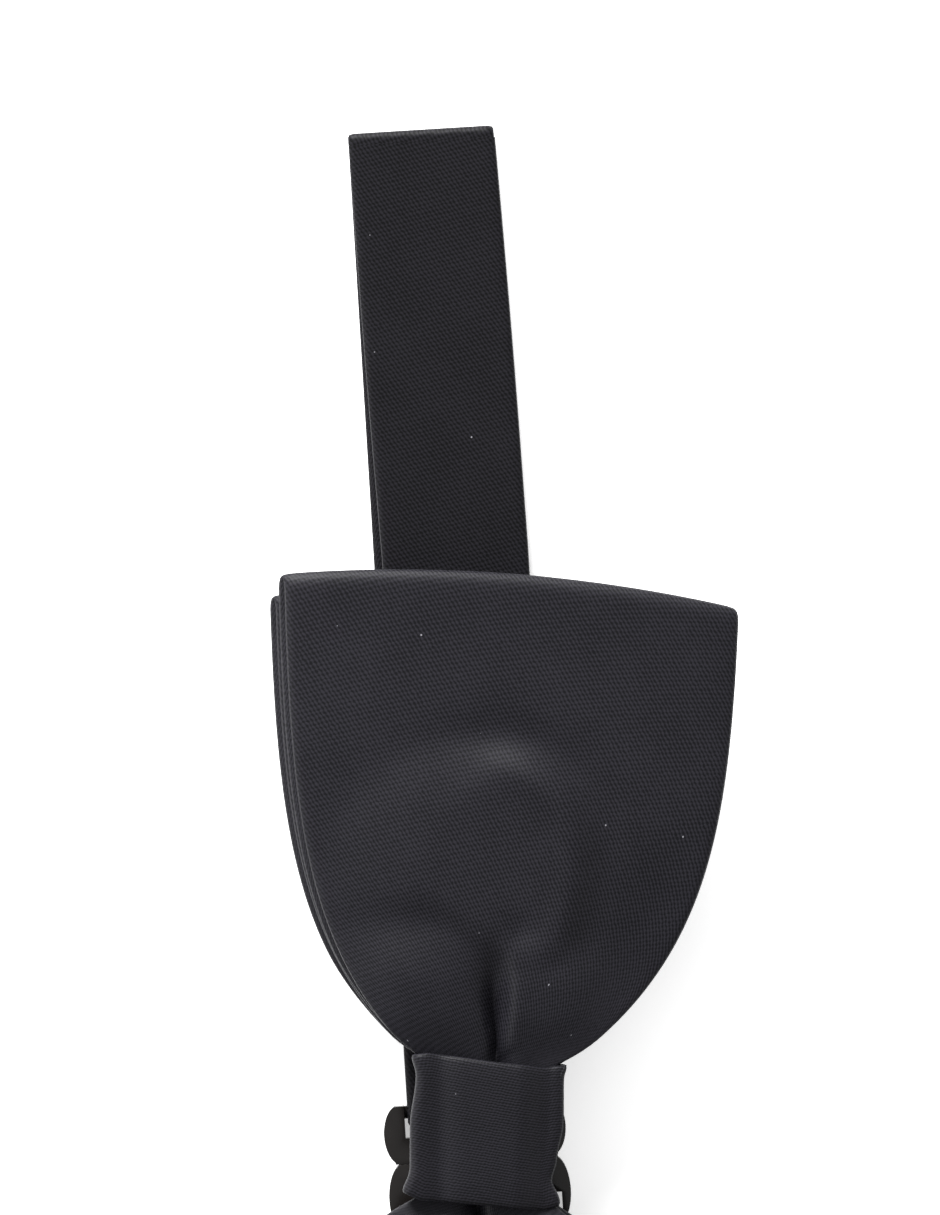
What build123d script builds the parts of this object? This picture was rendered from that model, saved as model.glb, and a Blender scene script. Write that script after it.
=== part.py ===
from build123d import *
import os
from math import radians, sin

# A pre-tied black bow tie. It lies face up, with its neckband clasped and pressed flat behind it.
# Frame, in millimetres: +X runs along the bow from wing to wing, +Y across it and +Z out of its front.
# The origin is in the middle of the tie, on the surface that the tie lies on.

# Neckband
BAND_WIDTH = 16.0
BAND_THICK = 0.8
LOOP_HALF_LENGTH = 108.8     # middle of the knot to where the neckband folds back
FOLD_GAP = 1.0               # air between the two runs inside a fold
BAND_LEAN = 3.5              # degrees that the neckband leans against the bow
BAND_OFFSET = 0.6            # sideways shift of the neckband at the knot

# Knot
KNOT_WIDTH = 17.0
KNOT_LENGTH = 15.6
KNOT_WALL = 0.9
KNOT_CORNER = 3.0
KNOT_STUFFING = 0.6
STITCH_THICK = 0.25

# Bow: two flat loops of folded satin, one behind the other
BOW_HALF_LENGTH = 58.4       # middle of the knot to the middle of a wing's end
WING_WIDTH = 49.8            # across a wing, at its end
WAIST_WIDTH = KNOT_WIDTH - 4.0    # across a loop where the thread pinches it
WING_SHIFT = 2.6             # each wing lies this far to one side of the knot
END_SKEW = 4.3               # degrees by which a wing's end is out of square
REAR_SHORTER = 2.3
REAR_SHIFT = 1.5
SATIN_THICK = 0.9
LOOP_HOLLOW = 0.8
INTERLINING_THICK = 0.5
INTERLINING_INSET = 1.2

# Thread round the waist of both loops
THREAD_THICK = 0.45
THREAD_TURNS = 5
THREAD_PITCH = 0.9

# Clasp and adjuster, both moulded
BAR_THICK = 1.4
CLASP_WIDTH = BAND_WIDTH + 3.8
HOOK_SHIFT = 0.75            # each plate stands out more on one side of its band loop
EYE_SHIFT = 0.6
CLASP_THICK = 2.4
CLASP_WINDOW_PLAY = 0.3      # beside the band, in the clasp's windows
CLASP_CLEARANCE = 0.35       # round the hook's head, in its slot
SPLIT_GAP = 0.2
SPLIT_X = -3.4               # where the two halves of the clasp meet, along the band
HOOK_LENGTH = 6.2            # each half of the clasp, from its split face to its bar's far side
EYE_LENGTH = 7.4
LOBE_DEPTH = 1.8
SLIDE_THICK = 1.2
SLIDE_WIDTH = BAND_WIDTH + 4.0
SLIDE_X = -42.0
SLIDE_TRAVEL = (-16.0, 12.0)

# Clearances
PLAY = 0.1                   # cloth against what it is threaded through
LAYER_GAP = 0.2              # between layers that are pressed together
FOLD_CLEARANCE = 0.05        # the straight runs stop short of the fold's axis, so they clear when opened
WINDOW_PLAY = 0.8            # beside the band, in the slide's windows

# Heights that follow from the sizes above
TURN_RADIUS = BAR_THICK / 2 + PLAY + BAND_THICK / 2
LOW_Z = BAND_THICK / 2
CLASP_Z = LOW_Z + TURN_RADIUS
SECOND_Z = LOW_Z + BAND_THICK + PLAY
SLIDE_Z = SECOND_Z + BAND_THICK / 2 + PLAY
SLIDE_LOOP_Z = SLIDE_Z + SLIDE_THICK + PLAY + BAND_THICK / 2
CREST_Z = SLIDE_LOOP_Z + BAND_THICK + PLAY
FRONT_LOW_Z = LOW_Z + BAND_THICK + FOLD_GAP
STACK_TOP_Z = max(CLASP_Z + TURN_RADIUS, CREST_Z) + BAND_THICK / 2
FRONT_Z = STACK_TOP_Z + 2 * LAYER_GAP + BAND_THICK / 2
KNOT_Z = FRONT_Z - BAND_THICK / 2 - LAYER_GAP - KNOT_WALL
THREAD_Z = FRONT_Z + BAND_THICK / 2 + LAYER_GAP
REAR_Z = THREAD_Z + THREAD_THICK + PLAY
LOOP_THICK = 2 * SATIN_THICK + LOOP_HOLLOW
FRONT_BOW_Z = REAR_Z + LOOP_THICK + PLAY
THREAD_TOP_Z = FRONT_BOW_Z + LOOP_THICK + PLAY + THREAD_THICK
STUFFING_Z = THREAD_TOP_Z + LAYER_GAP
KNOT_TOP_Z = STUFFING_Z + KNOT_STUFFING + LAYER_GAP + KNOT_WALL

# Places along the band
FOLD_RADIUS = (FRONT_LOW_Z - LOW_Z) / 2
FOLD_X = LOOP_HALF_LENGTH - FOLD_RADIUS - BAND_THICK / 2
RUN_END_X = FOLD_X - FOLD_CLEARANCE
HOOK_BAR_X = SPLIT_X + HOOK_LENGTH - BAR_THICK / 2
EYE_SPLIT_X = SPLIT_X - SPLIT_GAP
EYE_BAR_X = EYE_SPLIT_X - EYE_LENGTH + BAR_THICK / 2
SLOPE = 9.0                  # length over which two layers of band come together
TURNED_END = 6.0             # flat end of the band, sewn down


def on_band(shape):
    """Place a piece that was drawn along the X axis where the leaning neckband is."""
    return Location((0, BAND_OFFSET, 0), (0, 0, BAND_LEAN)) * shape


def band(path, width=BAND_WIDTH):
    """A stretch of neckband that follows a path drawn in X and Z."""
    return extrude(Plane.XZ * trace(path, line_width=BAND_THICK), amount=width / 2, both=True)


def turn(x, z, start, radius=TURN_RADIUS):
    """Half a circle of band about a point."""
    return CenterArc((x, z), radius, start, 180)


def bow_outline(half_length, inset, shift):
    """A bow seen from the front: two flared wings that narrow to the pinched waist."""
    end = WING_WIDTH / 2 - inset
    waist = WAIST_WIDTH / 2 - inset
    flare = KNOT_LENGTH / 2 + PLAY
    rise = sin(radians(END_SKEW)) * end
    reach = half_length - inset
    high = (reach + rise, end - shift)
    low = (reach - rise, -end - shift)

    def side(sign, tip):
        """One side of the right-hand wing, from the waist to the tip."""
        return Spline(
            (flare, sign * waist),
            (0.42 * reach, sign * 0.81 * end - shift),
            tip,
            tangents=[(1, sign * 1.6), (1, sign * 0.05)],
        )

    wing = side(1, high) + Line(high, low) + side(-1, low)
    half = make_face(wing + Line((flare, -waist), (flare, waist)))
    bridge = Rectangle(2 * flare, 2 * waist)
    return half + bridge + Rotation(0, 0, 180) * half


def bow_loop(half_length, low_z, shift):
    """A flattened loop of satin: closed at both ends of the bow, open along its sides."""
    middle = low_z + LOOP_THICK / 2
    length = 2 * (half_length + WING_WIDTH / 2 * sin(radians(END_SKEW)))
    plate = extrude(Pos(Z=low_z) * bow_outline(half_length, 0, shift), amount=LOOP_THICK)
    hollow = Box(length - 5 * SATIN_THICK, 2 * WING_WIDTH, LOOP_HOLLOW)
    return plate - Pos(Z=middle) * Rotation(0, 0, -END_SKEW) * hollow


def bow_interlining(half_length, low_z, shift):
    """The stiff strip inside a loop."""
    inset = INTERLINING_INSET + 2 * SATIN_THICK
    low = low_z + (LOOP_THICK - INTERLINING_THICK) / 2
    return extrude(Pos(Z=low) * bow_outline(half_length, inset, shift), amount=INTERLINING_THICK)


def rounded_tube(width, low_z, high_z, wall, corner, length, x=0.0):
    """A ring round the X axis with rounded corners, as cloth or thread is wound round the waist."""
    height = high_z - low_z
    ring = RectangleRounded(width, height, corner)
    ring -= RectangleRounded(width - 2 * wall, height - 2 * wall, corner - wall)
    place = Plane(origin=(x - length / 2, 0, (low_z + high_z) / 2), x_dir=(0, 1, 0), z_dir=(1, 0, 0))
    return extrude(place * ring, amount=length)


def knot_wrap():
    """The plain strip that hides the waist and makes the knot."""
    return rounded_tube(KNOT_WIDTH, KNOT_Z, KNOT_TOP_Z, KNOT_WALL, KNOT_CORNER, KNOT_LENGTH)


def knot_stuffing():
    """The strip of interlining that keeps the front of the knot smooth."""
    inner = KNOT_WIDTH - 2 * KNOT_WALL - 2 * (KNOT_CORNER - KNOT_WALL)
    middle = STUFFING_Z + KNOT_STUFFING / 2
    return Pos(Z=middle) * Box(KNOT_LENGTH - 1.6, inner, KNOT_STUFFING)


def knot_seam_stitches():
    """The row of hand stitches that closes the wrap behind the knot."""
    stitch = Box(0.5, 1.8, STITCH_THICK)
    row = [Pos(1.9 * i, 0, KNOT_Z - STITCH_THICK / 2) * stitch for i in range(-3, 4)]
    return Compound(children=row)


def waist_thread():
    """The turns of thread that pinch both loops together."""
    width = WAIST_WIDTH + 2 * (PLAY + THREAD_THICK)
    first = -THREAD_PITCH * (THREAD_TURNS - 1) / 2
    turns = [
        rounded_tube(
            width, THREAD_Z, THREAD_TOP_Z, THREAD_THICK, THREAD_THICK + 0.05, THREAD_THICK, first + i * THREAD_PITCH
        )
        for i in range(THREAD_TURNS)
    ]
    return Compound(children=turns)


def neckband_front():
    """The run that passes through the knot, above the clasp and the slide, from fold to fold."""
    clear_slide = SLIDE_X + SLIDE_TRAVEL[0] - 12
    path = FilletPolyline(
        (-RUN_END_X, FRONT_LOW_Z), (clear_slide - 30, FRONT_LOW_Z), (clear_slide, FRONT_Z),
        (KNOT_LENGTH / 2 + 4, FRONT_Z), (KNOT_LENGTH / 2 + 34, FRONT_LOW_Z), (RUN_END_X, FRONT_LOW_Z),
        radius=20,
    )
    # The band bunches up where it goes through the knot, clear of the knot's rounded corners.
    pinch = KNOT_WIDTH - 2 * KNOT_CORNER - KNOT_LENGTH * sin(radians(BAND_LEAN)) + 2 * LAYER_GAP
    reach = KNOT_LENGTH / 2 + 1
    trim = Polygon(
        (-reach, pinch / 2), (reach, pinch / 2), (reach + 6, BAND_WIDTH), (-reach - 6, BAND_WIDTH), align=None
    )
    side = extrude(trim, amount=KNOT_TOP_Z)
    return band(path) - side - Rotation(0, 0, 180) * side


def band_fold(sign):
    """Where the neckband turns back under itself."""
    return band(turn(sign * FOLD_X, (LOW_Z + FRONT_LOW_Z) / 2, -90 * sign, FOLD_RADIUS))


def neckband_hook_side():
    """The back run from the upper fold to the clasp hook, with its end turned round the hook's bar."""
    top = CLASP_Z + TURN_RADIUS
    end = HOOK_BAR_X + SLOPE
    path = Line((RUN_END_X, LOW_Z), (HOOK_BAR_X, LOW_Z)) + turn(HOOK_BAR_X, CLASP_Z, 90)
    path += FilletPolyline(
        (HOOK_BAR_X, top), (HOOK_BAR_X + 2, top), (end, SECOND_Z), (end + TURNED_END, SECOND_Z), radius=4
    )
    return band(path)


def stitches(x, z, count=5, length=1.8):
    """A row of thread stitches across the band, lying on its upper face."""
    pitch = (BAND_WIDTH - 3) / (count - 1)
    stitch = Box(0.4, length, STITCH_THICK)
    return [Pos(x, (i - (count - 1) / 2) * pitch, z + STITCH_THICK / 2) * stitch for i in range(count)]


def hook_end_stitches():
    """Two rows that hold the turned end down."""
    top = SECOND_Z + BAND_THICK / 2
    end = HOOK_BAR_X + SLOPE + TURNED_END
    return Compound(children=stitches(end - 1.5, top) + stitches(end - 4, top))


def neckband_adjust_side():
    """The back run from the lower fold to where the slide's travel begins."""
    end = SLIDE_X + SLIDE_TRAVEL[0] - slide_half() + 1
    return band(Line((-RUN_END_X, LOW_Z), (end, LOW_Z)))


def slide_half():
    """Half the length of the slide: its middle bar, one window and one end bar."""
    return BAR_THICK / 2 + slide_window() + BAR_THICK


def slide_window():
    """A window takes two layers of band on edge, and their play."""
    return 2 * BAND_THICK + 7 * PLAY


def strand_rise():
    """How far from the slide's middle the running strand goes up through a window."""
    return BAR_THICK / 2 + 1.5 * BAND_THICK + 2 * PLAY


def eye_loop_end():
    """Where the loop round the eye's bar hands over to the two straight strands."""
    return EYE_BAR_X - SLOPE


def adjust_strand():
    """The running strand: under the slide's end bars, over its middle bar, and on to the clasp eye."""
    start = SLIDE_X + SLIDE_TRAVEL[0] - slide_half() + 1
    rise = strand_rise()
    path = FilletPolyline(
        (start, LOW_Z), (SLIDE_X - rise, LOW_Z), (SLIDE_X - rise, CREST_Z), (SLIDE_X + rise, CREST_Z),
        (SLIDE_X + rise, SECOND_Z), (eye_loop_end(), SECOND_Z),
        radius=BAND_THICK * 0.7,
    )
    return band(path)


def eye_loop():
    """The band turned round the bar of the clasp eye."""
    top = CLASP_Z + TURN_RADIUS
    end = eye_loop_end()
    path = FilletPolyline((end, SECOND_Z), (end + 2, SECOND_Z), (EYE_BAR_X - 2, top), (EYE_BAR_X, top), radius=4)
    path += turn(EYE_BAR_X, CLASP_Z, -90) + Line((EYE_BAR_X, LOW_Z), (end, LOW_Z))
    return band(path)


def return_strand():
    """The strand that comes back from the eye to the slide, under the running strand."""
    return band(Line((eye_loop_end(), LOW_Z), (SLIDE_X + slide_half() + 1, LOW_Z)))


def slider_end_loop():
    """The band's end, wound once round the slide's middle bar and sewn to itself below."""
    out = BAR_THICK / 2 + PLAY + BAND_THICK / 2
    path = FilletPolyline(
        (SLIDE_X + slide_half() + 1, LOW_Z), (SLIDE_X - out, LOW_Z), (SLIDE_X - out, SLIDE_LOOP_Z),
        (SLIDE_X + out, SLIDE_LOOP_Z), (SLIDE_X + out, SECOND_Z), (SLIDE_X - 0.2, SECOND_Z),
        radius=BAND_THICK * 0.55,
    )
    return band(path)


def adjuster_slider():
    """A flat frame with three bars and two windows."""
    length = 2 * slide_half()
    frame = RectangleRounded(length, SLIDE_WIDTH, 1.8)
    window = RectangleRounded(slide_window(), BAND_WIDTH + 2 * WINDOW_PLAY, 0.5)
    away = (BAR_THICK + slide_window()) / 2
    frame -= Pos(X=away) * window + Pos(X=-away) * window
    body = extrude(Pos(SLIDE_X, 0, SLIDE_Z) * frame, amount=SLIDE_THICK)
    return fillet(body.edges().filter_by(Axis.Z, reverse=True).group_by(Axis.Z)[-1], 0.3)


def clasp_plate(bar_x, face_x, shift):
    """One half of the clasp as a flat shape: a lobed plate, a window for the band and the bar beyond it."""
    sign = 1 if bar_x > face_x else -1
    far = bar_x + sign * BAR_THICK / 2
    length = abs(far - face_x)
    middle = (far + face_x) / 2
    inner = CLASP_WIDTH / 2 - LOBE_DEPTH
    plate = Pos(middle, shift) * Rectangle(length, 2 * inner)
    for side in (-1, 1):
        plate += Pos(middle, side * inner + shift) * Ellipse(0.52 * length, LOBE_DEPTH)
    plate &= Pos(middle, shift) * Rectangle(length, CLASP_WIDTH)
    window_far = bar_x - sign * BAR_THICK / 2
    window_near = window_far - sign * (2 * BAND_THICK + 5 * PLAY)
    window = Rectangle(abs(window_far - window_near), BAND_WIDTH + 2 * CLASP_WINDOW_PLAY)
    return plate - Pos(X=(window_far + window_near) / 2) * window


def clasp_solid(flat, bar_x):
    """Raise the flat shape, with a round bar for the band to turn about."""
    body = extrude(Pos(Z=CLASP_Z - CLASP_THICK / 2) * flat, amount=CLASP_THICK)
    width = BAND_WIDTH + 2 * CLASP_WINDOW_PLAY
    body -= Pos(bar_x, 0, CLASP_Z) * Box(BAR_THICK, width, 2 * CLASP_THICK)
    bar = Pos(bar_x, 0, CLASP_Z) * Rotation(90, 0, 0) * Cylinder(BAR_THICK / 2, width)
    return body + bar


def hook_head(grow=0.0):
    """The T-shaped head of the hook, or the slot that it drops into when it is grown."""
    neck_length, neck_width, head_length, head_width = 1.6, 5.0, 1.6, 8.6
    neck = Pos(SPLIT_X - neck_length / 2, 0) * Rectangle(neck_length + 2 * grow, neck_width + 2 * grow)
    head_x = SPLIT_X - neck_length - head_length / 2
    return neck + Pos(head_x, 0) * Rectangle(head_length + 2 * grow, head_width + 2 * grow)


def clasp_hook():
    """The half with the T-shaped head."""
    return clasp_solid(clasp_plate(HOOK_BAR_X, SPLIT_X, HOOK_SHIFT) + hook_head(), HOOK_BAR_X)


def clasp_eye():
    """The half with the slot."""
    return clasp_solid(clasp_plate(EYE_BAR_X, EYE_SPLIT_X, EYE_SHIFT) - hook_head(CLASP_CLEARANCE), EYE_BAR_X)


rear_half_length = BOW_HALF_LENGTH - REAR_SHORTER
pieces = {
    "front_bow": bow_loop(BOW_HALF_LENGTH, FRONT_BOW_Z, WING_SHIFT),
    "front_bow_interlining": bow_interlining(BOW_HALF_LENGTH, FRONT_BOW_Z, WING_SHIFT),
    "rear_bow": bow_loop(rear_half_length, REAR_Z, WING_SHIFT - REAR_SHIFT),
    "rear_bow_interlining": bow_interlining(rear_half_length, REAR_Z, WING_SHIFT - REAR_SHIFT),
    "waist_thread": waist_thread(),
    "knot_wrap": knot_wrap(),
    "knot_interlining": knot_stuffing(),
    "knot_seam_stitches": knot_seam_stitches(),
    "neckband_front": on_band(neckband_front()),
    "upper_band_fold": on_band(band_fold(1)),
    "lower_band_fold": on_band(band_fold(-1)),
    "neckband_hook_side": on_band(neckband_hook_side()),
    "hook_end_stitches": on_band(hook_end_stitches()),
    "clasp_hook": on_band(clasp_hook()),
    "neckband_adjust_side": on_band(neckband_adjust_side()),
    "adjust_strand": on_band(adjust_strand()),
    "return_strand": on_band(return_strand()),
    "eye_loop": on_band(eye_loop()),
    "clasp_eye": on_band(clasp_eye()),
    "slider_end_loop": on_band(slider_end_loop()),
    "adjuster_slider": on_band(adjuster_slider()),
}

os.makedirs("parts", exist_ok=True)
for node, shape in pieces.items():
    export_step(shape, f"parts/{node}.step")
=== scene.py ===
from math import atan2, copysign, cos, exp, pi, radians, sin, sqrt

import bpy
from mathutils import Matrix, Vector


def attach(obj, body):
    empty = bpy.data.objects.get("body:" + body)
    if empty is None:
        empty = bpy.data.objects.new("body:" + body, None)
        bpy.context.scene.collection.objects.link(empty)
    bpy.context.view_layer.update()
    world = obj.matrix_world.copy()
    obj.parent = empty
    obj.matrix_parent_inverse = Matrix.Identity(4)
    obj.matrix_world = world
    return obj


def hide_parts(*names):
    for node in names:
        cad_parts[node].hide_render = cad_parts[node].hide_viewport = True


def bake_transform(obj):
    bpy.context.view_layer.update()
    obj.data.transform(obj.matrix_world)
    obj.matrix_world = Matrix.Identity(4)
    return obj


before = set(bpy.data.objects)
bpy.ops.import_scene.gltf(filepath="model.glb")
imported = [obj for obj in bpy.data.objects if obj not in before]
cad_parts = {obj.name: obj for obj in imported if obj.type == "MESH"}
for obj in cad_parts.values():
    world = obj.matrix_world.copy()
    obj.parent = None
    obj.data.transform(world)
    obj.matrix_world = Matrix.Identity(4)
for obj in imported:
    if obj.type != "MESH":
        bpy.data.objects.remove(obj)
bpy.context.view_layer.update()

# The tie lies face up, with +X along the bow and +Z out of its front. Lengths below are in
# millimetres and MM turns them to metres.
MM = 0.001


# ---------------------------------------------------------------- table, light and camera
# A softly lit white table lies under the tie and a soft white room surrounds it. A low soft box
# beyond the upper wing rakes the satin so that its folds read, and weaker ones fill from the sides.
def to_linear(hex_colour):
    """An sRGB hex colour as linear red, green, blue and alpha."""
    parts = [int(hex_colour[i:i + 2], 16) / 255 for i in (1, 3, 5)]
    return [c / 12.92 if c <= 0.04045 else ((c + 0.055) / 1.055) ** 2.4 for c in parts] + [1.0]


def add_node(tree, kind, settings=None, links=None, **properties):
    """Add one node with its properties, its unlinked input values and its input links."""
    node = tree.nodes.new(kind)
    for name, value in properties.items():
        setattr(node, name, value)
    for socket, value in (settings or {}).items():
        node.inputs[socket].default_value = value
    for socket, source in (links or {}).items():
        tree.links.new(source, node.inputs[socket])
    return node


def new_material(name):
    """An empty node material and its tree."""
    material = bpy.data.materials.new(name)
    material.use_nodes = True
    material.node_tree.nodes.clear()
    return material, material.node_tree


def wave_scale(period):
    """The Scale of a wave texture whose bands repeat every so many millimetres."""
    return 2 * pi / (20 * period * MM)


def fine_noise(tree, size, place, detail=2.0, distortion=0.0):
    """A noise texture with grains of a size in millimetres."""
    settings = {"Scale": 1 / (size * MM), "Detail": detail, "Distortion": distortion}
    return add_node(tree, "ShaderNodeTexNoise", settings, {"Vector": place})


def blended(tree, dark, light, share):
    """A colour between two hex colours, by a share from another node's output."""
    colours = {"A": to_linear(dark), "B": to_linear(light)}
    return add_node(tree, "ShaderNodeMix", colours, {"Factor": share}, data_type="RGBA")


CARD_WHITE = "#F7F7F7"
CARD_SIZE = 3.0  # metres
CARD_GLOW = 0.45
ROOM_LIGHT = 0.8

bpy.ops.object.select_all(action="DESELECT")
bpy.ops.mesh.primitive_plane_add(size=CARD_SIZE, location=(0, 0, 0))
card = bpy.context.object
card.name = "white_card"
card_paper, tree = new_material("matt_white_card")
shader = add_node(
    tree, "ShaderNodeBsdfPrincipled",
    {"Base Color": to_linear(CARD_WHITE), "Roughness": 0.9, "Emission Color": (1, 1, 1, 1),
     "Emission Strength": CARD_GLOW},
)
add_node(tree, "ShaderNodeOutputMaterial", links={"Surface": shader.outputs["BSDF"]})
card.data.materials.append(card_paper)

room = bpy.data.worlds.new("white_room")
bpy.context.scene.world = room
room.use_nodes = True
room.node_tree.nodes["Background"].inputs["Color"].default_value = (1, 1, 1, 1)
room.node_tree.nodes["Background"].inputs["Strength"].default_value = ROOM_LIGHT

SOFT_BOXES = [
    # name, place (m), width and height (m), watts
    ("soft_box_top", (0.85, 0.3, 0.42), 0.5, 33.0),
    ("soft_box_left", (-0.05, 0.75, 0.4), 0.4, 3.2),
    ("soft_box_right", (0.1, -0.75, 0.4), 0.4, 0.6),
]
AIM = Vector((0.03, 0, 0))  # the middle of the upper wing
for name, place, side, watts in SOFT_BOXES:
    lamp = bpy.data.lights.new(name, "AREA")
    lamp.shape = "SQUARE"
    lamp.size = side
    lamp.energy = watts
    box = bpy.data.objects.new(name, lamp)
    box.location = place
    box.rotation_euler = (AIM - Vector(place)).to_track_quat("-Z", "Y").to_euler()
    bpy.context.collection.objects.link(box)

# The camera looks straight down, with the bow's long axis upright and the lower wing cut off.
VIEW_HEIGHT = 131.2     # how much of the tie's length the camera takes in, at the wings' level
VIEW_CENTRE = (56.55, 1.85)
CAMERA_HEIGHT = 1200.0  # over the wings
WING_LEVEL = 11.5
SENSOR = 36.0

lens = bpy.data.cameras.new("camera")
lens.sensor_width = SENSOR
lens.lens = SENSOR * CAMERA_HEIGHT / VIEW_HEIGHT
lens.clip_end = 10.0
camera = bpy.data.objects.new("camera", lens)
camera.location = (VIEW_CENTRE[0] * MM, VIEW_CENTRE[1] * MM, (CAMERA_HEIGHT + WING_LEVEL) * MM)
camera.rotation_euler = (0, 0, radians(-90))
bpy.context.collection.objects.link(camera)
bpy.context.scene.camera = camera
bpy.context.scene.view_settings.view_transform = "Standard"


# ---------------------------------------------------------------- black satin
# Polyester satin, woven with long floats over a fine twill ground. It is nearly black, with a
# soft broad sheen, faint crossing lines, slight clouding and a few specks of lint.
LINT_GREY = "#77767B"
SHEEN_GREY = "#B9B8C4"
LINT_SPACING = 3.6
CLOUD_SIZE = 7
PICK_ANGLE = 68  # between the ribs of the weave and the fainter lines that cross them
PICK_STRETCH = 1.15


def woven_satin(name, dark, light, pitch, angle, gloss, crossing):
    """Satin whose weave follows the piece's UV map, which is in metres along and across the cloth.

    pitch is the distance between ribs, angle their direction in degrees, and crossing the share
    that the crossing lines have in the weave."""
    material, tree = new_material(name)
    uv = add_node(tree, "ShaderNodeUVMap", uv_map="cloth").outputs["UV"]
    turned = add_node(tree, "ShaderNodeMapping", {"Rotation": (0, 0, radians(angle))}, {"Vector": uv})
    ribs = add_node(
        tree, "ShaderNodeTexWave",
        {"Scale": wave_scale(pitch), "Distortion": 2.5, "Detail": 2.0, "Detail Scale": 2.0},
        {"Vector": turned.outputs["Vector"]}, bands_direction="X",
    )
    crossed = add_node(
        tree, "ShaderNodeMapping", {"Rotation": (0, 0, radians(angle - PICK_ANGLE))}, {"Vector": uv}
    )
    picks = add_node(
        tree, "ShaderNodeTexWave",
        {"Scale": wave_scale(PICK_STRETCH * pitch), "Distortion": 3.0, "Detail": 3.0, "Detail Scale": 3.0},
        {"Vector": crossed.outputs["Vector"]}, bands_direction="X",
    )
    cloud = fine_noise(tree, CLOUD_SIZE, uv)
    weave = add_node(
        tree, "ShaderNodeMix", {"Factor": crossing}, {"A": ribs.outputs["Fac"], "B": picks.outputs["Fac"]}
    )
    shade = add_node(
        tree, "ShaderNodeMath", {1: 0.35}, {0: cloud.outputs["Fac"], 2: weave.outputs["Result"]},
        operation="MULTIPLY_ADD",
    )
    tone = add_node(
        tree, "ShaderNodeMapRange", {"From Min": 0.35, "From Max": 1.0}, {"Value": shade.outputs["Value"]}
    )
    cloth = blended(tree, dark, light, tone.outputs["Result"])
    specks = add_node(tree, "ShaderNodeTexVoronoi", {"Scale": 1 / (LINT_SPACING * MM)}, {"Vector": uv})
    lint = add_node(
        tree, "ShaderNodeMapRange", {"From Min": 0.035, "From Max": 0.02},
        {"Value": specks.outputs["Distance"]},
    )
    colour = add_node(
        tree, "ShaderNodeMix", {"B": to_linear(LINT_GREY)},
        {"Factor": lint.outputs["Result"], "A": cloth.outputs["Result"]}, data_type="RGBA",
    )
    bump = add_node(
        tree, "ShaderNodeBump", {"Strength": 0.4, "Distance": 0.05 * MM}, {"Height": weave.outputs["Result"]}
    )
    shader = add_node(
        tree, "ShaderNodeBsdfPrincipled",
        {"Roughness": 0.5, "Specular IOR Level": gloss, "Sheen Weight": 0.02, "Sheen Roughness": 0.4,
         "Sheen Tint": to_linear(SHEEN_GREY)},
        {"Base Color": colour.outputs["Result"], "Normal": bump.outputs["Normal"]},
    )
    add_node(tree, "ShaderNodeOutputMaterial", links={"Surface": shader.outputs["BSDF"]})
    return material


bow_satin = woven_satin("black_polyester_satin", "#07070A", "#1D1C21", 0.42, 58, 0.10, 0.36)


# ---------------------------------------------------------------- bow loops
# Each loop is one strip of satin, folded double along its sides, turned back at both wing ends
# and joined behind the waist. The pinch at the waist throws up two soft legs with a deep pleat
# between them, and a low dome in the middle of each wing.
CLOTH = 0.7
WING_HALF_WIDTH = 24.75
WING_LEAN = 2.7         # how far a wing's end is set off to one side
END_SKEW = 4.3          # degrees that a wing's end is out of square
END_BULGE = 1.9         # how far the middle of a wing's end stands out
WAIST_HALF_WIDTH = 6.3
LOOP_GAP = 1.7          # between the middles of the front and back cloth
PRESSED_GAP = 0.85      # the same at the pressed ends
PLEAT_START = 6.0       # where the pleat begins to fade, from the knot's middle
DOME_CENTRE = 30.0


def ease(low, high, value):
    """0 below low, 1 above high and a smooth step between them."""
    share = min(max((value - low) / (high - low), 0.0), 1.0)
    return share * share * (3 - 2 * share)


def bell(value, middle, spread):
    """A smooth bump of height 1."""
    return exp(-(((value - middle) / spread) ** 2))


def flare(x):
    """How far the wing has opened at a distance x from the knot's middle: 1 at its end."""
    return 1.013 - 1.197 * exp(-x / 13.5)


def across(x, t, lean):
    """The place across the bow of a thread t (-1 to 1) of the strip at a distance x along it."""
    open_width = flare(x) * WING_HALF_WIDTH
    late = 0.45 * (1 - t)
    opened = ease(6.3 - late, 9.6 - late, x)
    half = WAIST_HALF_WIDTH + (open_width - WAIST_HALF_WIDTH) * opened
    return half * t - lean * flare(x) * opened


def pleat(x, y):
    """The deep pleat that opens from the knot, 0 to 1."""
    width = 0.78 + 0.18 * max(x - 10.0, 0.0)
    return bell(y, -1.1 + 0.08 * (x - 8.0), width) * exp(-((max(x - PLEAT_START, 0.0) / 11.5) ** 3))


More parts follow.
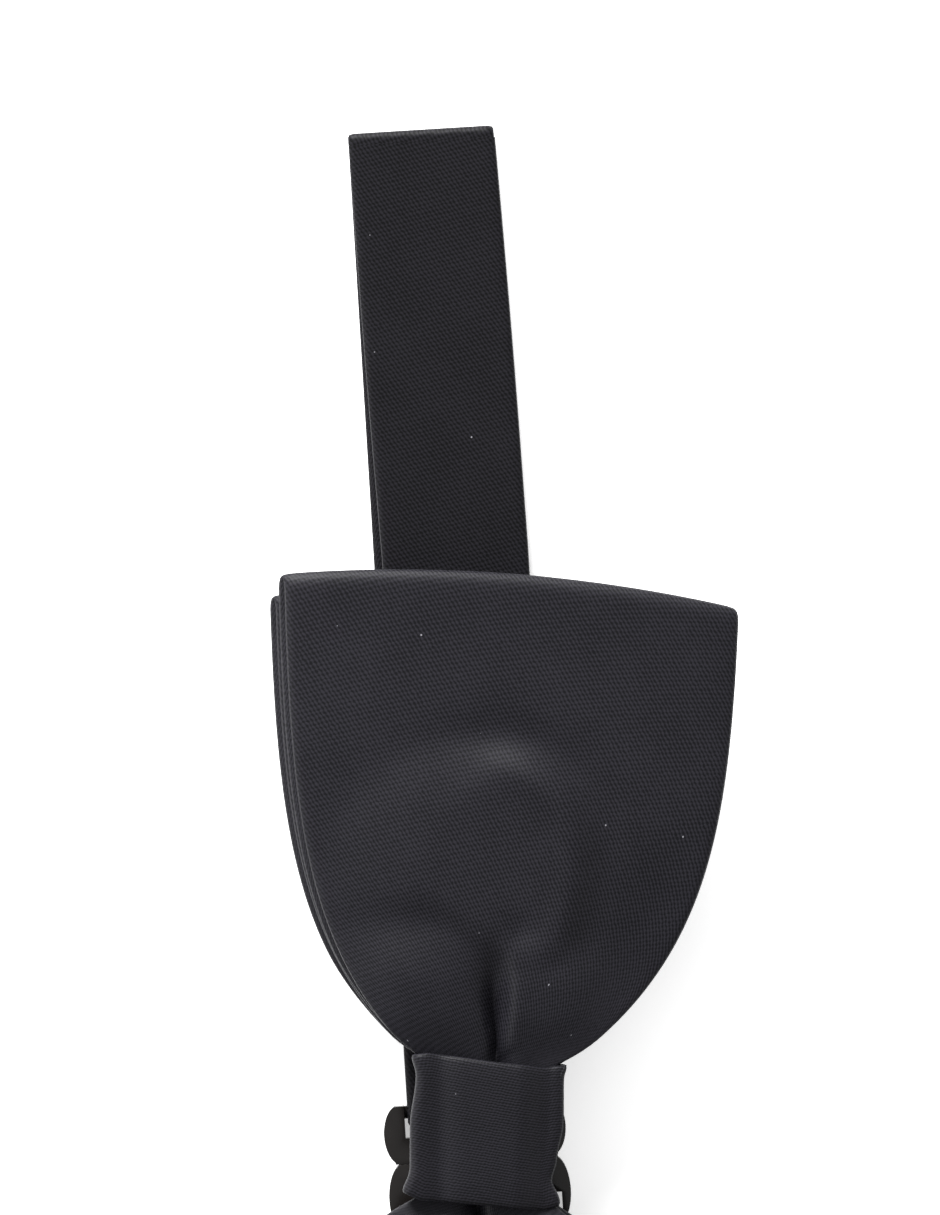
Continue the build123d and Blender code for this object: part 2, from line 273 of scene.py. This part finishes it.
def relief(x, y):
    """Height of the front cloth over the wing's plain level."""
    # The two legs rise from the knot on either side of the pleat and end under the dome.
    near = ease(7.0, 13.0, x)
    left_leg = (0.55 * ease(-1.0, 0.9, y) + 0.65 * ease(0.5, 8.5, y)) * (1 - ease(9.0, 20.0, y))
    left_leg *= near * (1 - ease(15.5, 23.6, x))
    right_leg = 1.1 * ease(-1.2, -3.4, y) * (1 - ease(-8.0, -14.0, y))
    right_leg *= near * (1 - ease(15.5, 21.0, x))
    # The dome is egg-shaped, with reach 1 about its edge. It is softer to the left and starts at
    # the ends of the legs. A crest runs round its right side and a shallow moat round its top.
    left = ease(-2, 8, y)
    length = 9.7 if x > DOME_CENTRE else 17.0
    reach = sqrt(((x - DOME_CENTRE) / length) ** 2 + ((y + 0.6) / (9.5 + 2.5 * left)) ** 2)
    start = 18.3 + 5.9 * ease(-3.0, 6.5, y)
    rise = ease(start - 1.8, start + 1.8, x)
    dome = 0.8 * (1 - ease(0.75 - 0.35 * left, 1.3 + 0.3 * left, reach)) * rise
    crest = 0.4 * bell(reach, 0.94, 0.15) * ease(2.0, -5.0, y) * ease(start - 1.0, start + 4.0, x)
    moat = -0.4 * bell(reach, 1.36, 0.2) * ease(24, 36, x) * (1 - 0.7 * left)
    spot = -0.3 * bell(x, 21.7, 1.6) * bell(y, -3.6, 1.7)
    right_dip = -1.3 * bell(x, 20.0, 9.5) * bell(y, -17.0, 6.0)
    left_dip = -0.25 * bell(x, 32.0, 10.0) * bell(y, 16.0, 4.5)
    return left_leg + right_leg + dome + crest + moat + spot + (right_dip + left_dip)


def crown(x, y):
    """The wing's plain level: it bends down a little towards its sides and droops towards its end."""
    open_width = max(flare(max(x, 9.0)) * WING_HALF_WIDTH, 1.0)
    side = min(abs(y + WING_LEAN * flare(x)) / open_width, 1.1)
    return 0.6 * ease(8, 21, x) - 1.1 * side ** 3.2 * ease(8, 20, x) - 0.9 * ease(20, 60, x)


def loop_point(s, t, shape):
    """A point of the loop's middle surface: s is the distance along the strip, t goes across it."""
    reach = shape["half_length"] + sin(radians(END_SKEW)) * WING_HALF_WIDTH * t
    reach += END_BULGE * (1 - t * t)
    turn_length = pi * PRESSED_GAP / 2
    run = reach - PRESSED_GAP / 2
    share = s * (2 * run + turn_length)
    if share < run:
        x, front, height = share, 1.0, LOOP_GAP / 2
    elif share > run + turn_length:
        x, front = 2 * run + turn_length - share, 0.0
        height = -LOOP_GAP / 2 + (LOOP_GAP - PRESSED_GAP) * ease(reach - 5, reach - 0.6, x)
    else:
        angle = (share - run) / (PRESSED_GAP / 2)
        x, front = run + sin(angle) * PRESSED_GAP / 2, 0.5 + 0.5 * cos(angle)
        height = (LOOP_GAP - PRESSED_GAP) / 2 + cos(angle) * PRESSED_GAP / 2
    y = across(x, t, shape["lean"]) + shape["back_shift"] * (1 - front) * ease(8, 20, x)
    fold = shape["front_relief"] * front + shape["back_relief"] * (1 - front)
    keep = 1 - ease(reach - 7, reach, x) * 0.9
    depth = shape["front_pleat"] * front + shape["back_pleat"] * (1 - front)
    z = shape["level"] + height + crown(x, y) + fold * relief(x, y) * keep - depth * pleat(x, y)
    return x, y, z


def strip_grid(name, along, over):
    """A flat grid that becomes a strip of cloth, with its UV layer named."""
    bpy.ops.object.select_all(action="DESELECT")
    bpy.ops.mesh.primitive_grid_add(x_subdivisions=along, y_subdivisions=over, size=2)
    strip = bpy.context.object
    strip.name = name
    strip.data.name = name
    strip.data.uv_layers[0].name = "cloth"
    return strip


def evenly(t):
    """A strip whose threads lie where its grid's do."""
    return t


def lay_out(strip, place, distance, width, spread=evenly):
    """Move each vertex to place(s, t), with s from 0 to 1 and t from -1 to 1, and size the UVs."""
    for vertex in strip.data.vertices:
        s, t = (vertex.co.x + 1) / 2, spread(vertex.co.y)
        vertex.co = Vector(place(s, t)) * MM
    for corner in strip.data.uv_layers["cloth"].data:
        corner.uv = (distance(corner.uv[0]) * MM, spread(2 * corner.uv[1] - 1) * width / 2 * MM)


def finish_cloth(strip, thickness, merge=False, cut_ends=()):
    """Close the strip where its ends meet, give it its thickness and round its edges.

    cut_ends are the planes, each a point and a normal, where a run goes on as the next piece.
    Their edges stay square."""
    bpy.ops.object.select_all(action="DESELECT")
    strip.select_set(True)
    bpy.context.view_layer.objects.active = strip
    if merge:
        bpy.ops.object.mode_set(mode="EDIT")
        bpy.ops.mesh.select_all(action="SELECT")
        bpy.ops.mesh.remove_doubles(threshold=0.00002)
        bpy.ops.mesh.normals_make_consistent(inside=False)
        bpy.ops.object.mode_set(mode="OBJECT")
    wall = strip.modifiers.new("wall", "SOLIDIFY")
    wall.thickness = thickness * MM
    wall.offset = 0.0
    bpy.ops.object.modifier_apply(modifier="wall")
    if cut_ends:
        crease = strip.data.attributes.new("crease_edge", "FLOAT", "EDGE")
        for edge in strip.data.edges:
            ends = [strip.data.vertices[i].co / MM for i in edge.vertices]
            for point, normal in cut_ends:
                if all(abs((end - Vector(point)).dot(Vector(normal))) < 0.01 for end in ends):
                    crease.data[edge.index].value = 1.0
    smooth = strip.modifiers.new("smooth", "SUBSURF")
    smooth.levels = smooth.render_levels = 1
    bpy.ops.object.modifier_apply(modifier="smooth")
    bpy.ops.object.mode_set(mode="EDIT")
    bpy.ops.mesh.select_all(action="SELECT")
    bpy.ops.mesh.normals_make_consistent(inside=False)
    bpy.ops.object.mode_set(mode="OBJECT")
    if cut_ends:
        bpy.ops.object.shade_smooth_by_angle(angle=radians(70))
    else:
        bpy.ops.object.shade_smooth()


def stand_for(piece, nodes, material, body=None):
    """Give a finished piece its material and slot, hide the CAD nodes it stands for, and attach it."""
    piece.data.materials.append(material)
    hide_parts(*nodes)
    if body:
        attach(piece, body)


def closer_inside(t):
    """Threads that lie closest in the middle, where the pleat is."""
    return 0.45 * t + 0.55 * t ** 3


def bow_loop(name, shape):
    """One whole loop: the upper wing's front and back, then the lower wing's back and front."""
    def place(s, t):
        if s < 0.5:
            return loop_point(2 * s, t, shape)
        x, y, z = loop_point(2 - 2 * s, -t, shape)
        return -x, -y, z

    loop = strip_grid(name, 196, 48)
    lay_out(loop, place, lambda s: 4 * s * shape["half_length"], 2 * WING_HALF_WIDTH, closer_inside)
    finish_cloth(loop, CLOTH, merge=True)
    return loop


FRONT_LOOP = {
    "half_length": 58.4, "lean": WING_LEAN, "level": 11.2, "back_shift": 0.65,
    "front_relief": 1.0, "back_relief": 0.3, "front_pleat": 2.3, "back_pleat": 1.9,
}
REAR_LOOP = {
    "half_length": 56.1, "lean": 1.65, "level": 8.3, "back_shift": 0.65,
    "front_relief": 0.2, "back_relief": 0.1, "front_pleat": 1.45, "back_pleat": 1.05,
}
front_loop = bow_loop("front_bow_satin", FRONT_LOOP)
rear_loop = bow_loop("rear_bow_satin", REAR_LOOP)
for loop, node, shape in ((front_loop, "front_bow", FRONT_LOOP), (rear_loop, "rear_bow", REAR_LOOP)):
    stand_for(loop, [node], bow_satin, "bow")


# ---------------------------------------------------------------- interlinings of the bow
# A stiff strip of black non-woven interlining lies loose inside each loop, a little smaller than
# the loop all round, and keeps the wings flat. It is felted from short fibres and dead matt.
STIFFENER = 0.45
STIFFENER_INSET = 5.5
STIFFENER_WIDTH = 46
FIBRE_SIZE = 0.5


def felted(name, dark, light):
    """Non-woven cloth of short bonded fibres."""
    material, tree = new_material(name)
    place = add_node(tree, "ShaderNodeTexCoord").outputs["Object"]
    fibres = fine_noise(tree, FIBRE_SIZE, place, 4.0, 2.0)
    colour = blended(tree, dark, light, fibres.outputs["Fac"])
    bump = add_node(
        tree, "ShaderNodeBump", {"Strength": 0.6, "Distance": 0.08 * MM}, {"Height": fibres.outputs["Fac"]}
    )
    shader = add_node(
        tree, "ShaderNodeBsdfPrincipled", {"Roughness": 0.95, "Specular IOR Level": 0.1},
        {"Base Color": colour.outputs["Result"], "Normal": bump.outputs["Normal"]},
    )
    add_node(tree, "ShaderNodeOutputMaterial", links={"Surface": shader.outputs["BSDF"]})
    return material


interlining_felt = felted("black_non_woven_interlining", "#0E0E0F", "#1D1D1F")


def stiffener_point(s, t, shape):
    """A point of the stiffener, which lies half-way between the loop's two cloths."""
    side = 1 if s >= 0.5 else -1
    t = side * t * (1 - 0.06)
    reach = shape["half_length"] - STIFFENER_INSET + sin(radians(END_SKEW)) * WING_HALF_WIDTH * t
    x = abs(2 * s - 1) * reach
    y = across(x, t, shape["lean"]) * 0.96 + shape["back_shift"] / 2 * ease(8, 20, x)
    fold = (shape["front_relief"] + shape["back_relief"]) / 2
    depth = (shape["front_pleat"] + shape["back_pleat"]) / 2
    z = shape["level"] + crown(x, y) + fold * relief(x, y) - depth * pleat(x, y)
    return side * x, side * y, z


for name, node, loop_node, shape in (
    ("front_bow_stiffener", "front_bow_interlining", "front_bow", FRONT_LOOP),
    ("rear_bow_stiffener", "rear_bow_interlining", "rear_bow", REAR_LOOP),
):
    stiffener = strip_grid(name, 120, 30)
    lay_out(
        stiffener, lambda s, t: stiffener_point(s, t, shape), lambda s: 2 * s * shape["half_length"],
        STIFFENER_WIDTH,
    )
    finish_cloth(stiffener, STIFFENER)
    stand_for(stiffener, [node], interlining_felt, "bow")


# ---------------------------------------------------------------- waist thread
# Five turns of doubled black polyester thread are wound round both loops and pull them in to the
# waist. The thread is spun, so faint slanting plies run along it. The knot hides it.
THREAD = 0.45
TURN_PITCH = 0.9
TURN_HALF_WIDTH = 6.82
TURN_LOW, TURN_HIGH = 6.45, 12.35
TURNS = 5
PLY = 0.3
THIN = 0.01  # how thick the ring is that each turn is bent from, against its radius of 1


def spun_thread(name, dark, light):
    """Spun thread with slanting plies."""
    material, tree = new_material(name)
    place = add_node(tree, "ShaderNodeTexCoord").outputs["Object"]
    plies = add_node(
        tree, "ShaderNodeTexWave", {"Scale": wave_scale(PLY), "Distortion": 1.0}, {"Vector": place},
        bands_direction="DIAGONAL",
    )
    colour = blended(tree, dark, light, plies.outputs["Fac"])
    bump = add_node(
        tree, "ShaderNodeBump", {"Strength": 0.5, "Distance": 0.05 * MM}, {"Height": plies.outputs["Fac"]}
    )
    shader = add_node(
        tree, "ShaderNodeBsdfPrincipled", {"Roughness": 0.6, "Specular IOR Level": 0.3},
        {"Base Color": colour.outputs["Result"], "Normal": bump.outputs["Normal"]},
    )
    add_node(tree, "ShaderNodeOutputMaterial", links={"Surface": shader.outputs["BSDF"]})
    return material


black_thread = spun_thread("black_polyester_thread", "#131314", "#29292C")

turns = []
for i in range(TURNS):
    bpy.ops.object.select_all(action="DESELECT")
    bpy.ops.mesh.primitive_torus_add(
        major_segments=64, minor_segments=8, major_radius=1.0, minor_radius=THIN, rotation=(0, radians(90), 0)
    )
    bpy.ops.object.transform_apply(location=False, rotation=True, scale=False)
    turn = bpy.context.object
    for vertex in turn.data.vertices:
        # A torus of radius 1 round X becomes a rounded rectangle. The turns lean a little, as wound.
        angle = atan2(vertex.co.z, vertex.co.y)
        out = sqrt(vertex.co.y ** 2 + vertex.co.z ** 2) - 1
        swell = (abs(cos(angle)) ** 5 + abs(sin(angle)) ** 5) ** (-1 / 5)
        y = cos(angle) * (swell * TURN_HALF_WIDTH + out / THIN * THREAD / 2)
        z = sin(angle) * (swell * (TURN_HIGH - TURN_LOW) / 2 + out / THIN * THREAD / 2)
        x = vertex.co.x / THIN * THREAD / 2 + (i - TURNS // 2) * TURN_PITCH + 0.12 * y / TURN_HALF_WIDTH
        vertex.co = Vector((x, y, z + (TURN_LOW + TURN_HIGH) / 2)) * MM
    turns.append(turn)
bpy.ops.object.select_all(action="DESELECT")
for turn in turns:
    turn.select_set(True)
bpy.context.view_layer.objects.active = turns[0]
bpy.ops.object.join()
winding = bpy.context.object
winding.name = winding.data.name = "waist_thread_turns"
bpy.ops.object.shade_smooth()
stand_for(winding, ["waist_thread"], black_thread, "bow")


# ---------------------------------------------------------------- knot
# A plain strip of the bow's satin is wrapped round the waist, with its raw edges folded under, and
# sewn shut behind. It sits a little askew, flares at its corners and has a soft fold at each side.
KNOT_LOW, KNOT_HIGH = 4.55, 14.05
KNOT_WALL = 0.8
KNOT_LENGTH = 15.6
KNOT_STEP = 0.35
knot_satin = woven_satin("black_knot_satin", "#060608", "#1B1A1F", 0.30, 93, 0.10, 0.3)


def knot_left(x):
    """The knot's left edge, at a distance x along the bow."""
    return 7.7 + 0.65 * ease(6, 0.5, x) + 0.55 * ease(6.3, 8.5, x) + 0.95 * ease(-4, -7, x)


def knot_right(x):
    """The knot's right edge."""
    narrower = 0.7 * ease(1, -3, x) + 0.6 * ease(-3, -5.3, x)
    return -8.3 + narrower - 0.95 * ease(-5.3, -7.6, x) - 0.6 * ease(5.5, 8, x)


def knot_top(y):
    """The knot's edge towards the upper wing."""
    middle = min(max(y, -5.9), 6.6)
    return 7.75 + 0.13 * middle - 0.13 * (y - middle)


def knot_bottom(y):
    """The knot's edge towards the lower wing."""
    return -7.95 + 0.09 * y + 0.38 * max(abs(y) - 6.5, 0)


def rounded_run(corners):
    """Points of a run through corners (a, b, radius), with short straight steps and rounded bends."""
    points = [Vector(corners[0][:2])]
    for before, corner, after in zip(corners, corners[1:], corners[2:]):
        middle = Vector(corner[:2])
        back, on = Vector(before[:2]) - middle, Vector(after[:2]) - middle
        reach = min(corner[2], back.length / 2, on.length / 2)
        start, end = middle + back.normalized() * reach, middle + on.normalized() * reach
        points += straight_steps(points[-1], start)
        for i in range(1, 9):
            share = i / 8
            points.append(start.lerp(middle, share).lerp(middle.lerp(end, share), share))
    return points + straight_steps(points[-1], Vector(corners[-1][:2]))


def straight_steps(start, end, step=2.0):
    """Points from start to end, at most a step apart, without start itself."""
    count = int((end - start).length / step) + 1
    return [start.lerp(end, i / count) for i in range(1, count + 1)] if (end - start).length > 0.001 else []


def distances(points):
    """How far along the run each point is."""
    total = [0.0]
    for a, b in zip(points, points[1:]):
        total.append(total[-1] + (b - a).length)
    return total


knot_run = rounded_run([
    (0, KNOT_LOW, 0), (8, KNOT_LOW, 2.6), (8, KNOT_HIGH, 2.6), (6.5, KNOT_HIGH, 0.4), (2.5, KNOT_HIGH, 0.4),
    (-2.5, KNOT_HIGH, 0.4), (-5, KNOT_HIGH, 0.4), (-6.5, KNOT_HIGH, 0.4), (-8, KNOT_HIGH, 2.6),
    (-8, KNOT_LOW, 2.6), (0, KNOT_LOW, 0),
])
knot_run = [
    point for a, b in zip(knot_run, knot_run[1:]) for point in (a, *straight_steps(a, b, KNOT_STEP)[:-1])
]
knot_run.append(Vector((0, KNOT_LOW)))
knot_reach = distances(knot_run)


def knot_point(s, t):
    """A point of the wrap: s goes round it and t along the bow."""
    y, z = knot_run[round(s * (len(knot_run) - 1))]
    share = 0.5 - 0.5 * t
    low, high = knot_bottom(y), knot_top(y)
    x = high + (low - high) * share
    front = ease(8.5, 13.0, z)
    side = knot_left(x) - KNOT_WALL / 2 if y > 0 else -knot_right(x) - KNOT_WALL / 2
    y *= (side * front + min(side - 0.3, 7.6) * (1 - front)) / 8
    # A broad soft groove runs down the right side and a shallow one down the left.
    groove = 1.4 * ease(-3.0 - 0.05 * x, -6.8 - 0.05 * x, y) + 0.45 * bell(y, 5.0, 1.4)
    swell = 0.12 * bell(y, 0.5, 5.0) - 0.15 * ease(0.75, 1.0, abs(t))
    return x, y, z + (swell - groove) * ease(12.5, KNOT_HIGH, z)


knot = strip_grid("knot_satin_wrap", len(knot_run) - 1, 22)
lay_out(knot, knot_point, lambda s: knot_reach[round(s * (len(knot_run) - 1))], KNOT_LENGTH)
finish_cloth(knot, KNOT_WALL, merge=True)
stand_for(knot, ["knot_wrap"], knot_satin, "bow")

# A short strip of the interlining lies under the front of the wrap and keeps it smooth.
PADDING_LENGTH = 14.0
PADDING_WIDTH = 10.4
PADDING = 0.5


def padding_point(s, t):
    """A point of the padding, which bends down under the groove at the knot's right."""
    y = PADDING_WIDTH / 2 * t
    return (s - 0.5) * PADDING_LENGTH, y, 13.0 - 0.1 * t * t - 0.95 * ease(-3.0, -6.6, y)


padding = strip_grid("knot_stiffener", 14, 12)
lay_out(padding, padding_point, lambda s: PADDING_LENGTH * s, PADDING_WIDTH)
finish_cloth(padding, PADDING)
stand_for(padding, ["knot_interlining"], interlining_felt, "bow")


def sewn_row(name, places, length, turned=0.0):
    """Stitches of black thread, each a short bulge of thread whose ends go down into the cloth."""
    row = []
    for x, y, z in places:
        bpy.ops.object.select_all(action="DESELECT")
        bpy.ops.mesh.primitive_uv_sphere_add(segments=10, ring_count=8, radius=0.5 * MM)
        stitch = bpy.context.object
        bpy.ops.object.mode_set(mode="EDIT")
        bpy.ops.mesh.select_all(action="SELECT")
        bpy.ops.transform.resize(value=(0.5, length, 0.28))
        bpy.ops.object.mode_set(mode="OBJECT")
        turn = radians(turned)
        for vertex in stitch.data.vertices:
            a, b, c = vertex.co
            across_row, along_row = a * cos(turn) - b * sin(turn), a * sin(turn) + b * cos(turn)
            vertex.co = (across_row + x * MM, along_row + y * MM, c + z * MM)
        row.append(stitch)
    bpy.ops.object.select_all(action="DESELECT")
    for stitch in row:
        stitch.select_set(True)
    bpy.context.view_layer.objects.active = row[0]
    bpy.ops.object.join()
    stitches = bpy.context.object
    stitches.name = stitches.data.name = name
    bpy.ops.object.shade_smooth()
    return stitches


STITCH = 1.8
seam = sewn_row("knot_seam_thread", [(1.9 * i, 0, KNOT_LOW - 0.45) for i in range(-3, 4)], STITCH)
stand_for(seam, ["knot_seam_stitches"], black_thread, "bow")


# ---------------------------------------------------------------- neckband
# One long strip of satin ribbon makes the whole neckband. It is pressed flat behind the bow, leans
# a little against it and bunches up where it goes through the knot. Each run is its own piece.
BAND = 0.8
BAND_HALF_WIDTH = 8.0
BAND_LEAN = 3.5
BAND_OFFSET = 0.6
# Heights of the ribbon's middle: on the table, one ribbon up, at the folds, in the knot, and over
# a clasp's bar.
LOW, SECOND, FRONT_LOW, FRONT, OVER_BAR = 0.4, 1.3, 2.2, 5.6, 2.8
RUN_END = 107.45
FOLD_REACH = 0.95
BAR_REACH = 1.2  # from a bar's middle to the middle of the ribbon round it
band_satin = woven_satin("black_satin_ribbon", "#040405", "#17161A", 0.40, 58, 0.08, 0.36)


def on_band(x, y, z):
    """The place in the model of a point that is x along the neckband, y across it and z up."""
    lean = radians(BAND_LEAN)
    return x * cos(lean) - y * sin(lean), x * sin(lean) + y * cos(lean) + BAND_OFFSET, z


def plain_width(x):
    """Half the width of a run that nothing bunches up."""
    return BAND_HALF_WIDTH


def no_shift(x):
    """A run that lies along the middle of the neckband."""
    return 0.0


def ribbon(name, corners, half_width=plain_width, shift=no_shift):
    """A run of neckband through corners (x, z, radius), with its weave along it."""
    run = rounded_run(corners)
    reach = distances(run)
    last = len(run) - 1

    def place(s, t):
        x, z = run[round(s * last)]
        return on_band(x, t * half_width(x) + shift(x), z)

    cut_ends = []
    for end, inner in ((0, 1), (last, last - 1)):
        point, behind = (Vector(on_band(run[i][0], 0, run[i][1])) for i in (end, inner))
        cut_ends.append((point, (point - behind).normalized()))
    strip = strip_grid(name, last, 14)
    lay_out(strip, place, lambda s: reach[round(s * last)] + corners[0][0], 2 * BAND_HALF_WIDTH)
    finish_cloth(strip, BAND, cut_ends=cut_ends)
    strip["run_length"] = reach[-1]
    return strip


def bunched_width(x):
    """The front run bunches up inside the knot."""
    return 5.1 + (2.85 + 0.2 * bell(abs(x), 85, 25)) * ease(8.6, 15, abs(x))


def front_shift(x):
    """The front run lies a little right of the back run above the knot, and left of it below."""
    side = -1 if x > 0 else 1
    return side * 0.95 * min((110 - abs(x)) / 48, 1.0) * ease(14, 56, abs(x))


front_run = ribbon("neckband_front_ribbon", [
    (-RUN_END, FRONT_LOW, 0), (-100, FRONT_LOW, 20), (-70, FRONT, 20), (11.8, FRONT, 20),
    (41.8, FRONT_LOW, 20), (RUN_END, FRONT_LOW, 0),
], bunched_width, front_shift)
stand_for(front_run, ["neckband_front"], band_satin, "bow")

# Each end of the loop is a soft fold.
for name, node, side, body in (
    ("upper_fold_ribbon", "upper_band_fold", 1, "hook_side"),
    ("lower_fold_ribbon", "lower_band_fold", -1, "adjust_side"),
):
    start, out = side * RUN_END, side * (RUN_END + FOLD_REACH)
    fold = ribbon(name, [(start, FRONT_LOW, 0), (out, FRONT_LOW, 0.9), (out, LOW, 0.9), (start, LOW, 0)])
    stand_for(fold, [node], band_satin)
    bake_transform(fold)

# The back run on the hook's side ends in a loop round the hook's bar, turned in and sewn down.
HOOK_BAR = 2.1
hook_run = ribbon("hook_side_ribbon", [
    (RUN_END, LOW, 0), (HOOK_BAR - BAR_REACH, LOW, 1.2), (HOOK_BAR - BAR_REACH, OVER_BAR, 1.2),
    (HOOK_BAR + 2, OVER_BAR, 3), (HOOK_BAR + 9, SECOND, 3), (HOOK_BAR + 15, SECOND, 0),
])
stand_for(hook_run, ["neckband_hook_side"], band_satin, "hook_side")
hook_stitches = sewn_row("hook_end_thread", [
    on_band(x, 3.25 * i, SECOND + 0.42) for x in (13.1, 15.6) for i in range(-2, 3)
], STITCH, BAND_LEAN)
stand_for(hook_stitches, ["hook_end_stitches"], black_thread, "hook_side")

# The back run on the other side goes under the slide and over its bar, round the eye's bar, and
# back to the slide, where its end is wound round the same bar and sewn to itself.
SLIDE = -42.0
SLIDE_HALF = 2.1        # from the slide's middle to the ribbon beside its middle bar
EYE_BAR = -10.3
STRAND_START = -61.4
LOOP_START = -19.3
STRAND_END = -36.6
CREST = 4.4             # the ribbon's height over the slide's bar
adjust_run = ribbon("adjust_side_ribbon", [(-RUN_END, LOW, 0), (STRAND_START, LOW, 0)])
stand_for(adjust_run, ["neckband_adjust_side"], band_satin, "adjust_side")
eye_run = ribbon("eye_loop_ribbon", [
    (LOOP_START, SECOND, 0), (LOOP_START + 2, SECOND, 3), (EYE_BAR - 2, OVER_BAR, 3),
    (EYE_BAR + BAR_REACH, OVER_BAR, 1.2), (EYE_BAR + BAR_REACH, LOW, 1.2), (LOOP_START, LOW, 0),
])
stand_for(eye_run, ["eye_loop"], band_satin, "adjust_side")
slide_loop = ribbon("slide_end_ribbon", [
    (STRAND_END, LOW, 0), (SLIDE - BAR_REACH, LOW, 0.6), (SLIDE - BAR_REACH, 3.5, 0.6),
    (SLIDE + BAR_REACH, 3.5, 0.6), (SLIDE + BAR_REACH, SECOND, 0.6), (SLIDE - 0.2, SECOND, 0),
])
stand_for(slide_loop, ["slider_end_loop"], band_satin, "slide")
under_strand = ribbon("running_strand_below_slide", [
    (STRAND_START, LOW, 0), (SLIDE - SLIDE_HALF, LOW, 0.6), (SLIDE - SLIDE_HALF, CREST, 0.6),
    (SLIDE, CREST, 0),
])
over_strand = ribbon("running_strand_above_slide", [
    (SLIDE, CREST, 0), (SLIDE + SLIDE_HALF, CREST, 0.6), (SLIDE + SLIDE_HALF, SECOND, 0.6),
    (LOOP_START, SECOND, 0),
])
back_strand = ribbon("return_strand_ribbon", [(LOOP_START, LOW, 0), (STRAND_END, LOW, 0)])
for strand, node, start, end, bodies in (
    (under_strand, "adjust_strand", STRAND_START, SLIDE - 4, ("adjust_side", "slide")),
    (over_strand, "adjust_strand", SLIDE + 4, LOOP_START, ("slide", "adjust_side")),
    (back_strand, "return_strand", LOOP_START, STRAND_END, ("adjust_side", "slide")),
):
    stand_for(strand, [node], band_satin)
    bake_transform(strand)


# ---------------------------------------------------------------- clasp and slide
# Hook, eye and slide are injection-moulded in slightly brownish black acetal, with rounded edges
# and a smooth, fairly glossy skin with a very fine grain.
MEETING_LINE = -3.5     # where hook and eye meet, along the neckband
MEETING_GAP = 0.05
MEETING_REACH = 0.2     # corners this near to the line belong to the edges that meet
FLOW_SIZE = 3
GRAIN_SIZE = 0.12


def close_up(moulding):
    """Bring the edges of hook and eye up to each other where they meet."""
    lean = radians(BAND_LEAN)
    for vertex in moulding.data.vertices:
        along = vertex.co.x * cos(lean) + (vertex.co.y - BAND_OFFSET * MM) * sin(lean)
        past = along / MM - MEETING_LINE
        if abs(past) < MEETING_REACH:
            move = (copysign(MEETING_GAP / 2, past) - past) * MM
            vertex.co.x += move * cos(lean)
            vertex.co.y += move * sin(lean)


def moulded_acetal(name, dark, light):
    """Moulded plastic with a fine grain and slight flow clouding."""
    material, tree = new_material(name)
    place = add_node(tree, "ShaderNodeTexCoord").outputs["Object"]
    flow = fine_noise(tree, FLOW_SIZE, place)
    grain = fine_noise(tree, GRAIN_SIZE, place)
    colour = blended(tree, dark, light, flow.outputs["Fac"])
    rough = add_node(
        tree, "ShaderNodeMapRange", {"To Min": 0.18, "To Max": 0.34}, {"Value": flow.outputs["Fac"]}
    )
    bump = add_node(
        tree, "ShaderNodeBump", {"Strength": 0.15, "Distance": 0.02 * MM}, {"Height": grain.outputs["Fac"]}
    )
    shader = add_node(
        tree, "ShaderNodeBsdfPrincipled", {"IOR": 1.48, "Specular IOR Level": 0.3},
        {"Base Color": colour.outputs["Result"], "Roughness": rough.outputs["Result"],
         "Normal": bump.outputs["Normal"]},
    )
    add_node(tree, "ShaderNodeOutputMaterial", links={"Surface": shader.outputs["BSDF"]})
    return material


black_acetal = moulded_acetal("black_moulded_acetal", "#0D0B0A", "#181514")
for name, node, body, radius in (
    ("clasp_hook_moulding", "clasp_hook", "clasp_hook_half", 0.18),
    ("clasp_eye_moulding", "clasp_eye", "clasp_eye_half", 0.18),
    ("adjuster_slide_moulding", "adjuster_slider", "slide", 0.12),
):
    bpy.ops.object.select_all(action="DESELECT")
    moulding = bpy.data.objects.new(name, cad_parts[node].data.copy())
    moulding.data.name = name
    moulding.data.materials.clear()
    bpy.context.collection.objects.link(moulding)
    moulding.select_set(True)
    bpy.context.view_layer.objects.active = moulding
    bpy.ops.object.mode_set(mode="EDIT")
    bpy.ops.mesh.select_all(action="SELECT")
    bpy.ops.mesh.remove_doubles(threshold=0.00001)
    bpy.ops.mesh.dissolve_limited(angle_limit=radians(2))
    bpy.ops.object.mode_set(mode="OBJECT")
    if body != "slide":
        close_up(moulding)
    edge = moulding.modifiers.new("rounded_edges", "BEVEL")
    edge.width = radius * MM
    edge.segments = 3
    edge.limit_method = "ANGLE"
    edge.angle_limit = radians(40)
    bpy.ops.object.modifier_apply(modifier="rounded_edges")
    bpy.ops.object.shade_smooth_by_angle(angle=radians(35))
    stand_for(moulding, [node], black_acetal, body)
